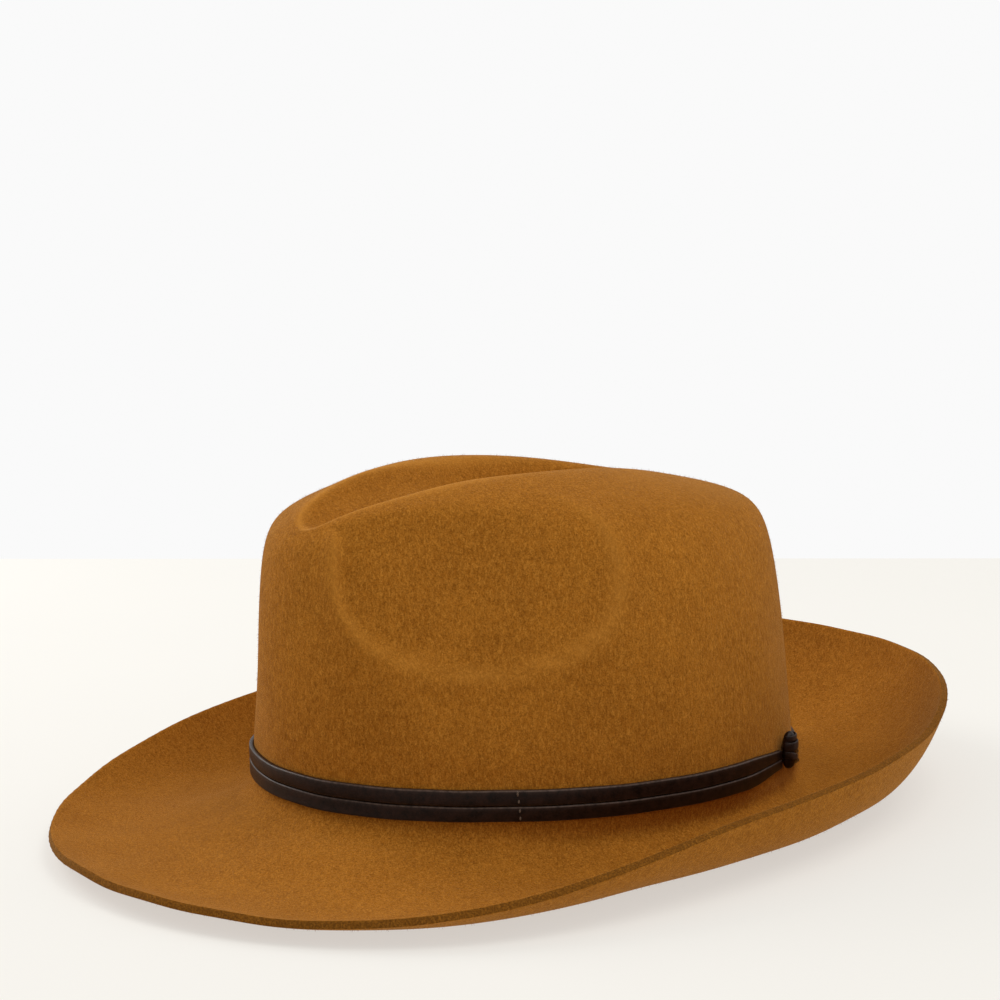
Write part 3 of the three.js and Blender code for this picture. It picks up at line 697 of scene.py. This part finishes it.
def cut_edge(outer, inner):
    """Rows of the brim's raw edge, a little round and frayed, from its outer to its inner rim."""
    rows = []
    for share in CUT_EDGE["shares"]:
        bulge = CUT_EDGE["bulge"] * math.sin(math.pi * share) ** 0.4
        waves = [(size, count, shift * share) for size, count, shift in CUT_EDGE["fringe"]]
        beyond = bulge + ripples(RING_ANGLES, waves)
        rows.append(outer * (1 - share) + inner * share + outward(RING_ANGLES) * beyond[:, None])
    return rows


def build_felt():
    """Crown and brim in one closed shell. Returns its outer rows and their normals for the nap."""
    count = len(RING_ANGLES)
    us = np.linspace(0, LAST, LAST * ROWS_PER_RING + 1)
    outer = np.array([felt_points(RING_COLUMNS, RING_ANGLES, np.full(count, u)) for u in us])
    normal = grid_normals(outer)
    normal[0] = normal[0] * [0, 1, 1]
    inner = outer - normal * THICKNESS
    edge = cut_edge(outer[-1], inner[-1])
    rows = np.array([*outer, *edge, *inner[::-1]])
    cut, ridge_highlight = np.zeros((2, len(rows), count))
    # The raw edge rows carry the painted shade.
    cut[len(outer) : len(outer) + len(edge)] = 1
    # Painted highlight along the crest and lip, on the outer face only.
    ridge_highlight[: len(outer)] = painted_ridge_highlight(us, outer)
    folded_piece("felt", set_down(rows), "felt", ["felt_body"], {"cut": cut, "ridge_highlight": ridge_highlight})
    return outer, normal


def build_nap(outer, outer_normal):
    """Loose fibres of the nap: slivers with a three-sided foot in the felt and a free tip."""
    count = NAP["fibres"]
    rows, columns = outer.shape[:2]
    beside = np.roll(outer, -1, 1) - outer
    stretch = np.linalg.norm(beside, axis=-1)
    stretch *= np.linalg.norm(np.gradient(outer, axis=0), axis=-1)
    chance = (stretch / stretch.sum()).ravel()
    pick = RNG.choice(rows * columns, size=count, p=chance)
    row, column = np.minimum(pick // columns, rows - 2), pick % columns
    across = beside[row, column]
    down = (outer[1:] - outer[:-1])[row, column]
    below = RNG.random(count) < 0.5
    below &= row > UNDERSIDE_ROW
    normal = outer_normal[row, column] * np.where(below, -1, 1)[:, None]
    start = outer[row, column] + across * RNG.random((count, 1)) + down * RNG.random((count, 1))
    start -= outer_normal[row, column] * np.where(below, THICKNESS, 0)[:, None] + NAP["sunk"] * normal
    lean = RNG.normal(size=(count, 3)) * NAP["lean"] + normal
    lean /= np.linalg.norm(lean, axis=1, keepdims=True)
    lean += normal * np.maximum(NAP["least_rise"] - (lean * normal).sum(1, keepdims=True), 0)
    tip = start + lean * RNG.uniform(*NAP["length"], (count, 1))
    side = np.cross(lean, RNG.normal(size=(count, 3)))
    side /= np.linalg.norm(side, axis=1, keepdims=True)
    other = np.cross(lean, side)
    girth = RNG.uniform(*NAP["girth"], (count, 1))
    feet = [start + girth * (math.cos(a) * side + math.sin(a) * other) for a in full_turn(3)]
    points = np.stack([*feet, tip], 1)
    first = 4 * np.arange(count)[:, None, None]
    faces = (first + np.array([(0, 2, 1), (0, 1, 3), (1, 2, 3), (2, 0, 3)])).reshape(-1, 3)
    mesh_piece("felt_nap", set_down(points), faces.tolist(), "felt")


build_nap(*build_felt())

# ---- leather band -------------------------------------------------------------------------------


def strap_edges(level, angles):
    """Bottom and top of a strap, drawn together at the knot and sagging a little behind it."""
    turn = angles - math.radians(KNOT["angle"])
    behind = np.degrees(np.arctan2(np.sin(turn), np.cos(turn)))
    end = np.where(behind > 0, GATHER["end_behind"], GATHER["end"])
    drawn = 1 - smoothstep(np.abs(behind), GATHER["start"], end)
    sag = GATHER["sag"] * fade(behind, GATHER["sag_in"], GATHER["sag_out"])
    bottom = STRAP[level] * (1 - drawn) + GATHER[level] * drawn - sag
    height = STRAP["height"] * (1 - drawn) + GATHER["height"] * drawn
    return bottom, bottom + height


STRAP_SECTION = [
    # share of thickness out, share of height up, painted highlight and scuffing
    (0.0, 0.0, 0), (0.0, 0.5, 0), (0.0, 1.0, 0), (0.55, 1.0, 0.3), (0.78, 0.99, 0.8), (0.93, 0.965, 1),
    (0.985, 0.93, 0.9), (1.0, 0.88, 0.15), (1.02, 0.7, 0), (1.03, 0.5, 0), (1.02, 0.3, 0), (1.0, 0.12, 0),
    (0.985, 0.07, 0.2), (0.93, 0.035, 0.3), (0.78, 0.01, 0.2), (0.55, 0.0, 0),
]


def lace_piece(node, angles, bottom, top, lift, thickness, wear_and_highlight_along):
    """A flat lace along the wall, between two heights, lifted off the felt."""
    columns = control_columns(angles)
    sections = []
    for out, up, _ in STRAP_SECTION:
        z = bottom + (top - bottom) * up
        sections.append(wall_points(columns, angles, z, -(lift + thickness * out)))
    sections = set_down(np.array(sections)).transpose(1, 0, 2)
    wear_and_highlight = np.outer(wear_and_highlight_along, [r for _, _, r in STRAP_SECTION])
    name = node.replace("band_", "leather_")
    return swept_piece(name, sections, "band_leather", [node], False, {"wear_and_highlight": wear_and_highlight})


def build_strap(level, node):
    """One strap round the crown, open behind the knot, its painted edge highlight and scuffing strongest
    round the tack.
    """
    gap = math.radians(KNOT["gap"])
    first = math.radians(KNOT["angle"]) + gap
    angles = np.linspace(first, first + 2 * np.pi - 2 * gap, 900)
    bottom, top = strap_edges(level, angles)
    slack = ripples(angles, STRAP_SLACK)
    wear_and_highlight_along = 0.45 + 0.55 * np.cos((angles - math.radians(TACK_ANGLE)) / 2) ** 8
    return lace_piece(node, angles, bottom + slack, top + slack, STRAP_OFF_WALL, STRAP["thickness"], wear_and_highlight_along)


build_strap("lower", "band_lower_strap")
build_strap("upper", "band_upper_strap")


def local_frame(angle_degrees, z):
    """Origin on the wall and rows (along the wall, out of it, up), in the hat's frame."""
    angles = np.array([math.radians(angle_degrees)])
    out = outward(angles)[0]
    up = np.array([0, 0, 1.0])
    along = -np.cross(up, out)
    origin = wall_points(control_columns(angles), angles, z, 0)[0]
    return origin, np.array([along, out, up])


def knot_piece(node, local, faces, wear_and_highlight=None):
    """A piece of the knot, from points in the knot's own frame."""
    origin, axes = local_frame(KNOT["angle"], KNOT["z"])
    points = set_down(origin + np.asarray(local).reshape(-1, 3) @ axes)
    attributes = None if wear_and_highlight is None else {"wear_and_highlight": wear_and_highlight}
    name = node.replace("band_", "leather_")
    return mesh_piece(name, points, faces, "band_leather", [node], attributes)


def knot_radius(height):
    """Share of the knot's full girth at a height from -1 to 1."""
    return np.sqrt(np.clip(1 - np.abs(height) ** 2.8, 0, 1)) * 0.97 + 0.02


def build_knot_core():
    """Rolled leather at the heart of the knot, drawn in under each wrap."""
    heights = np.linspace(-1, 1, 61)
    turns = full_turn(48)
    waist = 1 - 0.05 * np.cos(heights * 9.5) ** 2
    points = []
    for z, radius in zip(heights, knot_radius(heights) * waist):
        lump = 1 + ripples(turns, ((0.045, 3, z * 4), (0.02, 7, -z * 6)))
        x = KNOT["half_width"] * radius * lump * np.cos(turns)
        y = KNOT["depth"] / 2 * radius * lump * np.sin(turns) + KNOT_MIDDLE
        points.append(np.stack([x, y, np.full_like(x, z * KNOT["half_height"])], -1))
    return knot_piece("band_knot_core", points, capped_faces(len(heights), len(turns)))


LACE_SECTION = [
    # share of half the width up, share of the thickness out
    (-1, 0), (-0.99, 0.35), (-0.92, 0.7), (-0.75, 0.92), (-0.4, 1), (0, 1.04), (0.4, 1),
    (0.75, 0.92), (0.92, 0.7), (0.99, 0.35), (1, 0), (0.6, -0.15), (0, -0.2), (-0.6, -0.15),
]


def lace_wrap(node, level, half_width, rise, grow):
    """One crowned turn of lace over the front of the knot."""
    turns = np.linspace(-0.15, np.pi + 0.15, 49)
    sections, wear_and_highlight = [], []
    for turn in turns:
        z = level + rise * math.cos(turn)
        girth = float(knot_radius(z / KNOT["half_height"]))
        out = np.array([math.cos(turn), math.sin(turn), 0.0])
        reach = np.array([KNOT["half_width"] * girth + grow, KNOT["depth"] / 2 * girth + grow, 0])
        centre = out * reach + [0, KNOT_MIDDLE, z]
        section = [centre + out * o * LACE_THICKNESS + [0, 0, u * half_width] for u, o in LACE_SECTION]
        sections.append(section)
        # Painted highlight on the outer face at the front of each wrap, where it faces the light.
        front = max(math.sin(turn), 0) ** 3
        wear_and_highlight.append([0.5 * front if o > 0.9 else (0.15 if o > 0.6 else 0) for _, o in LACE_SECTION])
    faces = capped_faces(len(turns), len(LACE_SECTION))
    return knot_piece(node, sections, faces, wear_and_highlight)


build_knot_core()
lace_wrap("band_knot_wrap_upper", 4.5, 1.0, -0.25, 0.0)
lace_wrap("band_knot_wrap_lower", 1.8, 1.5, -0.3, 0.1)
lace_wrap("band_knot_twist", -2.2, 1.2, 1.2, 0.0)


def build_tail(level, node):
    """The lace's cut end, tucked back over the strap behind the knot."""
    start = math.radians(KNOT["angle"] + TAIL["start"])
    angles = np.linspace(start, start + math.radians(TAIL["turn"]), 40)
    bottom, top = strap_edges(level, angles)
    share = np.linspace(0, 1, len(angles))
    narrow = TAIL["narrow"] + TAIL["taper"] * share**2
    lift = TAIL["lift"] + TAIL["arch"] * np.sin(share * np.pi)
    # The tail's edges take the painted highlight and scuffing along their whole length.
    wear_and_highlight_along = np.ones(len(angles))
    return lace_piece(node, angles, bottom + narrow, top - narrow, lift, TAIL["thickness"], wear_and_highlight_along)


build_tail("lower", "band_tail_lower")
build_tail("upper", "band_tail_upper")


TACK_STITCHES = [
    # height on the hat, half the stitch's height, half its width
    (15.7, 0.85, 0.34), (13.2, 0.6, 0.3), (10.3, 0.6, 0.3), (7.9, 0.6, 0.3),
]


def build_tack(side, node):
    """Thread that holds both straps: over the top edge, then in and out of each strap."""
    parts = []
    for z, half_height, half_width in TACK_STITCHES:
        origin, axes = local_frame(side * (TACK_ANGLE + (z - TACK_MIDDLE) * TACK_LEAN), z)
        centre = origin + axes[1] * (STRAP_OFF_WALL + STRAP["thickness"])
        parts.append(bead(centre, axes, (half_width, 0.3, half_height)))
    points, faces = join_parts(parts)
    return mesh_piece("thread_" + node, set_down(points), faces, "thread", [node])


build_tack(1, "band_tack_left")
build_tack(-1, "band_tack_right")

# ---- sweatband ----------------------------------------------------------------------------------

INNER_ANGLES = full_turn(480)
INNER_COLUMNS = control_columns(INNER_ANGLES)


def inner_ring(outline, ripple=None):
    """Sections of a ring inside the hat, from an outline of (inset, z) pairs."""
    rows = []
    for inset, z in outline:
        extra = 0 if ripple is None else ripple(z)
        rows.append(wall_points(INNER_COLUMNS, INNER_ANGLES, z, inset + extra))
    return set_down(np.array(rows)).transpose(1, 0, 2)


def sheet_outline(outer, inner, bottom, top, steps, rounding=0.25):
    """Outline of an upright sheet as (inset, z) pairs: up its outer face and down its inner one."""
    heights = np.linspace(bottom, top, steps + 1)[1:-1]
    middle = (outer + inner) / 2
    return [
        *[(outer, z) for z in heights],
        (outer, top - rounding), (middle, top), (inner, top - rounding),
        *[(inner, z) for z in heights[::-1]],
        (inner, bottom + rounding), (middle, bottom), (outer, bottom + rounding),
    ]


def cord_outline(cord):
    """Outline of a round cord as (inset, z) pairs."""
    radius = cord["radius"]
    return [(cord["inset"] + radius * math.cos(t), cord["z"] + radius * math.sin(t)) for t in full_turn(12)]


def build_sweatband():
    """The leather band inside the opening, slightly wavy, and the reed in its lower edge."""
    s = SWEATBAND
    outline = sheet_outline(s["outer"], s["inner"], s["bottom"], s["top"], 30)

    def ripple(z):
        slow = 0.22 * smoothstep(z, 8, 40) * np.sin(INNER_ANGLES * 11 + z * 0.05)
        return slow + 0.1 * smoothstep(z, 8, 20) * np.sin(INNER_ANGLES * 29 - z * 0.08)

    at_edge = [1.0 if z > s["top"] - 1 or z < s["bottom"] + 1 else 0.0 for _, z in outline]
    wear_and_highlight = np.tile(at_edge, (len(INNER_ANGLES), 1))
    sections = inner_ring(outline, ripple)
    swept_piece("leather_sweatband", sections, "sweatband_leather", ["sweatband"], True, {"wear_and_highlight": wear_and_highlight})
    swept_piece("reed_filament", inner_ring(cord_outline(REED)), "reed", ["sweatband_reed"])


def build_reed_tape():
    """Woven tape folded round the reed, as a channel open at its top."""
    t = REED_TAPE
    w, bottom = t["thickness"], t["bottom"]
    outline = [
        (t["outer"], t["top"]), (t["outer"], bottom + 0.6), (t["outer"] + 0.2, bottom + 0.15),
        (t["outer"] + 0.7, bottom), (t["inner"] - 0.7, bottom), (t["inner"] - 0.2, bottom + 0.15),
        (t["inner"], bottom + 0.6), (t["inner"], t["lip"]), (t["inner"] - w, t["lip"]),
        (t["inner"] - w, bottom + 0.75), (t["inner"] - 0.75, bottom + w),
        (t["outer"] + 0.75, bottom + w), (t["outer"] + w, bottom + 0.75), (t["outer"] + w, t["top"]),
    ]
    return swept_piece("woven_reed_tape", inner_ring(outline), "tape", ["sweatband_reed_tape"])


def build_stitches():
    """Two-hole stitches that join the sweatband to its tape, one row round the opening."""
    parts = []
    inset = SWEATBAND["inner"] + STITCH["proud"]
    forward, up = STITCH["slant"]
    for k in range(STITCH["count"]):
        angles = np.array([2 * math.pi * (k + 0.5) / STITCH["count"]])
        out = outward(angles)[0]
        along = -np.cross([0, 0, 1.0], out)
        centre = wall_points(control_columns(angles), angles, STITCH["z"], inset)[0]
        axes = np.array([along * forward + [0, 0, up], out, [0, 0, 1.0]])
        parts.append(bead(centre, axes, STITCH["radii"], 4, 6))
    points, faces = join_parts(parts)
    return mesh_piece("thread_sweatband_stitches", set_down(points), faces, "thread", ["sweatband_stitch"])


def patch_piece(name, patch, inset, thickness, slot, node, ripple=0.0):
    """A small sheet on the inside of the sweatband, with rounded edges."""
    share = np.linspace(-1, 1, 31)
    angles = np.radians(patch["angle"]) + share * np.radians(patch["half_angle"])
    columns = control_columns(angles)
    outline = sheet_outline(inset, inset + thickness, patch["bottom"], patch["top"], 16, thickness / 2)
    wave = ripple * np.sin(4.5 * (share + 1))
    rows = [wall_points(columns, angles, z, i + wave) for i, z in outline]
    return swept_piece(name, set_down(np.array(rows)).transpose(1, 0, 2), slot, [node], False)


def ribbon_loop(places, outs, ups):
    """Points and faces of a flat ribbon closed on itself, from its middle line and half sizes."""
    sections = [
        [centre - up - out, centre - up + out, centre + up + out, centre + up - out]
        for centre, out, up in zip(places, outs, ups)
    ]
    return np.array(sections), grid_faces(len(sections), 4, True, True)


def build_bow():
    """A small flat ribbon bow at the back of the sweatband: two loops and a binding turn."""
    b, turn = BOW, BOW_BINDING
    back = np.array([math.pi])
    base = wall_points(control_columns(back), back, b["z"], SWEATBAND["inner"] + b["proud"])[0]
    axes = np.array([[1, 0, 0], [0, -1, 0], [0, 0, 1.0]])
    parts = []
    for side in (-1, 1):
        places, outs, ups = [], [], []
        for t in full_turn(48):
            x = side * (b["reach"] - b["swing"] * math.cos(t))
            y, z = b["arch"] * math.sin(t) + b["lift"], b["twist"] * math.sin(3 * t)
            places.append(np.array([x, y, z]))
            facing = np.array([-side * b["waist"] * math.cos(t), math.sin(t), 0])
            outs.append(facing / np.linalg.norm(facing) * b["half_thickness"])
            ups.append(np.array([0, 0, b["half_height"] + b["flare"] * smoothstep(abs(x), 0.5, 8)]))
        parts.append(ribbon_loop(places, outs, ups))
    facings = [np.array([0, math.sin(t), math.cos(t)]) for t in full_turn(20)]
    places = [facing * [0, turn["depth"], turn["height"]] + [0, b["lift"], 0] for facing in facings]
    outs = [facing * turn["half_thickness"] for facing in facings]
    wide = np.array([turn["half_width"], 0, 0])
    parts.append(ribbon_loop(places, outs, [wide] * len(facings)))
    points, faces = join_parts(parts)
    return mesh_piece("ribbon_bow", set_down(base + points @ axes), faces, "ribbon", ["sweatband_bow"])


build_sweatband()
build_reed_tape()
build_stitches()
INNER_FACE = SWEATBAND["inner"]
patch_piece("leather_seam_tape", SEAM_TAPE, INNER_FACE + 0.5, 0.5, "sweatband_leather", "sweatband_seam_tape")
build_bow()
label = patch_piece("woven_label", LABEL, INNER_FACE + 0.35, 0.35, "label", "size_label", 0.08)

# ---- lining -------------------------------------------------------------------------------------


def build_lining():
    """Satin side panel, gathered a little into its top seam, and the oval tip above it."""
    s = LINING

    def ripple(z):
        gathered = smoothstep(z, SWEATBAND["top"] - 4, s["top"])
        pleats = np.sin(INNER_ANGLES * 96 + 1.2 * np.sin(INNER_ANGLES * 7)) * (0.12 + 0.2 * gathered)
        return pleats + s["lean"] * max(0, (z - SWEATBAND["top"]) / (s["top"] - SWEATBAND["top"]))

    outline = sheet_outline(s["outer"], s["inner"], s["bottom"], s["top"], 60, 0.2)
    side = swept_piece("satin_side", inner_ring(outline, ripple), "satin", ["lining_side"])
    rim = wall_points(INNER_COLUMNS, INNER_ANGLES, TIP["rim_z"], TIP["rim_inset"])
    fractions = np.linspace(0, 1, 41)

    def tip_row(fraction, drop):
        length = TIP["seam"] + (1 - TIP["seam"]) * fraction
        pucker = 0.35 * fraction**6 * np.sin(INNER_ANGLES * 60)
        z = TIP["rim_z"] + TIP["rise"] * (1 - fraction**2) - drop + pucker
        return np.stack([rim[:, 0] * fraction, rim[:, 1] * length, z], -1)

    rows = [tip_row(f, 0) for f in fractions] + [tip_row(f, TIP["thickness"]) for f in fractions[::-1]]
    tip = folded_piece("satin_tip", set_down(np.array(rows)), "satin", ["lining_tip"])
    swept_piece("ribbon_piping", inner_ring(cord_outline(PIPING)), "ribbon", ["lining_tip_piping"])
    return side, tip


satin_side, satin_tip = build_lining()

# ---- stage, light and camera --------------------------------------------------------------------

CAMERA_PLACE = Vector((0.5919, -0.4962, 0.2156))
CAMERA_AIM = Vector((-0.0120, 0.0074, 0.1040))
CAMERA_ROLL = math.radians(-1.706)
CAMERA_LENS = 82.1
FLOOR_BEHIND = 0.497
FLOOR_TURN = math.radians(-10)
FLOOR_REACH = 4
FLOOR_TOP = -0.0003


def stage_finish():
    """Pale board with a barely visible tooth, which glows of its own to lighten its shadows and the hat from
    below.
    """
    f = Finish("pale_board", 0.85, 0.2)
    f.colour(f.mix(f.noise(0.25, 3), (0.30, 0.29, 0.27), (0.315, 0.305, 0.285)))
    f.bump((f.noise(0.0008, 3), 0.0001, 0.15))
    # Painted light: the board glows, though it is no lamp.
    f.surface.inputs["Emission Color"].default_value = (1, 0.985, 0.94, 1)
    f.surface.inputs["Emission Strength"].default_value = 0.57
    return f.material


def build_floor():
    """A board under the hat whose far edge, a little behind it, runs level in the picture."""
    ahead = (CAMERA_AIM - CAMERA_PLACE).to_2d().normalized()
    ahead.rotate(Matrix.Rotation(FLOOR_TURN, 2))
    side = Vector((-ahead.y, ahead.x))
    aim = CAMERA_AIM.to_2d()
    steps = [-FLOOR_REACH, -1, FLOOR_BEHIND * math.cos(FLOOR_TURN)]
    sides = [-FLOOR_REACH, -1, 1, FLOOR_REACH]
    points = [(*(aim + ahead * a + side * b), FLOOR_TOP) for a in steps for b in sides]
    data = bpy.data.meshes.new("floor")
    data.from_pydata(points, [], grid_faces(3, 4, False, False))
    floor = bpy.data.objects.new("floor", data)
    bpy.context.scene.collection.objects.link(floor)
    data.materials.append(stage_finish())


def build_world():
    """Even light from all round, with a plain pale backdrop where the camera sees it."""
    world = bpy.data.worlds.new("studio")
    world.use_nodes = True
    bpy.context.scene.world = world
    nodes, links = world.node_tree.nodes, world.node_tree.links
    light = nodes["Background"]
    light.inputs["Color"].default_value = (1, 0.985, 0.96, 1)
    light.inputs["Strength"].default_value = 0.6
    seen = nodes.new("ShaderNodeBackground")
    seen.inputs["Color"].default_value = (0.955, 0.955, 0.955, 1)
    choose = nodes.new("ShaderNodeMixShader")
    links.new(nodes.new("ShaderNodeLightPath").outputs["Is Camera Ray"], choose.inputs[0])
    links.new(light.outputs[0], choose.inputs[1])
    links.new(seen.outputs[0], choose.inputs[2])
    links.new(choose.outputs[0], nodes["World Output"].inputs[0])


def softbox(name, place, aim, size, power, tint=(1, 1, 1)):
    """A rectangular lamp turned towards a point."""
    lamp = bpy.data.lights.new(name, "AREA")
    lamp.shape = "RECTANGLE"
    lamp.size, lamp.size_y = size
    lamp.energy = power
    lamp.color = tint
    lamp_object = bpy.data.objects.new(name, lamp)
    bpy.context.scene.collection.objects.link(lamp_object)
    lamp_object.location = place
    lamp_object.rotation_euler = (Vector(aim) - Vector(place)).to_track_quat("-Z", "Y").to_euler()


def build_camera():
    camera = bpy.data.cameras.new("camera")
    camera.lens = CAMERA_LENS
    camera.sensor_width = 36
    camera.clip_start, camera.clip_end = 0.01, 20
    camera_object = bpy.data.objects.new("camera", camera)
    bpy.context.scene.collection.objects.link(camera_object)
    look = (CAMERA_AIM - CAMERA_PLACE).to_track_quat("-Z", "Y").to_matrix()
    roll = Matrix.Rotation(CAMERA_ROLL, 3, "Z")
    camera_object.matrix_world = Matrix.Translation(CAMERA_PLACE) @ (look @ roll).to_4x4()
    bpy.context.scene.camera = camera_object


build_floor()
build_world()
softbox("overhead", (0.5, 0.2, 1.2), (0, 0, 0.05), (0.7, 0.7), 5.5, (1, 0.985, 0.96))
softbox("back_left", (-1.05, -0.3, 0.7), (0, 0, 0.06), (0.8, 0.8), 9)
softbox("back_right", (0.3, 1.1, 0.8), (0, 0, 0.08), (0.9, 0.9), 2)
build_camera()
bpy.context.scene.view_settings.view_transform = "Standard"
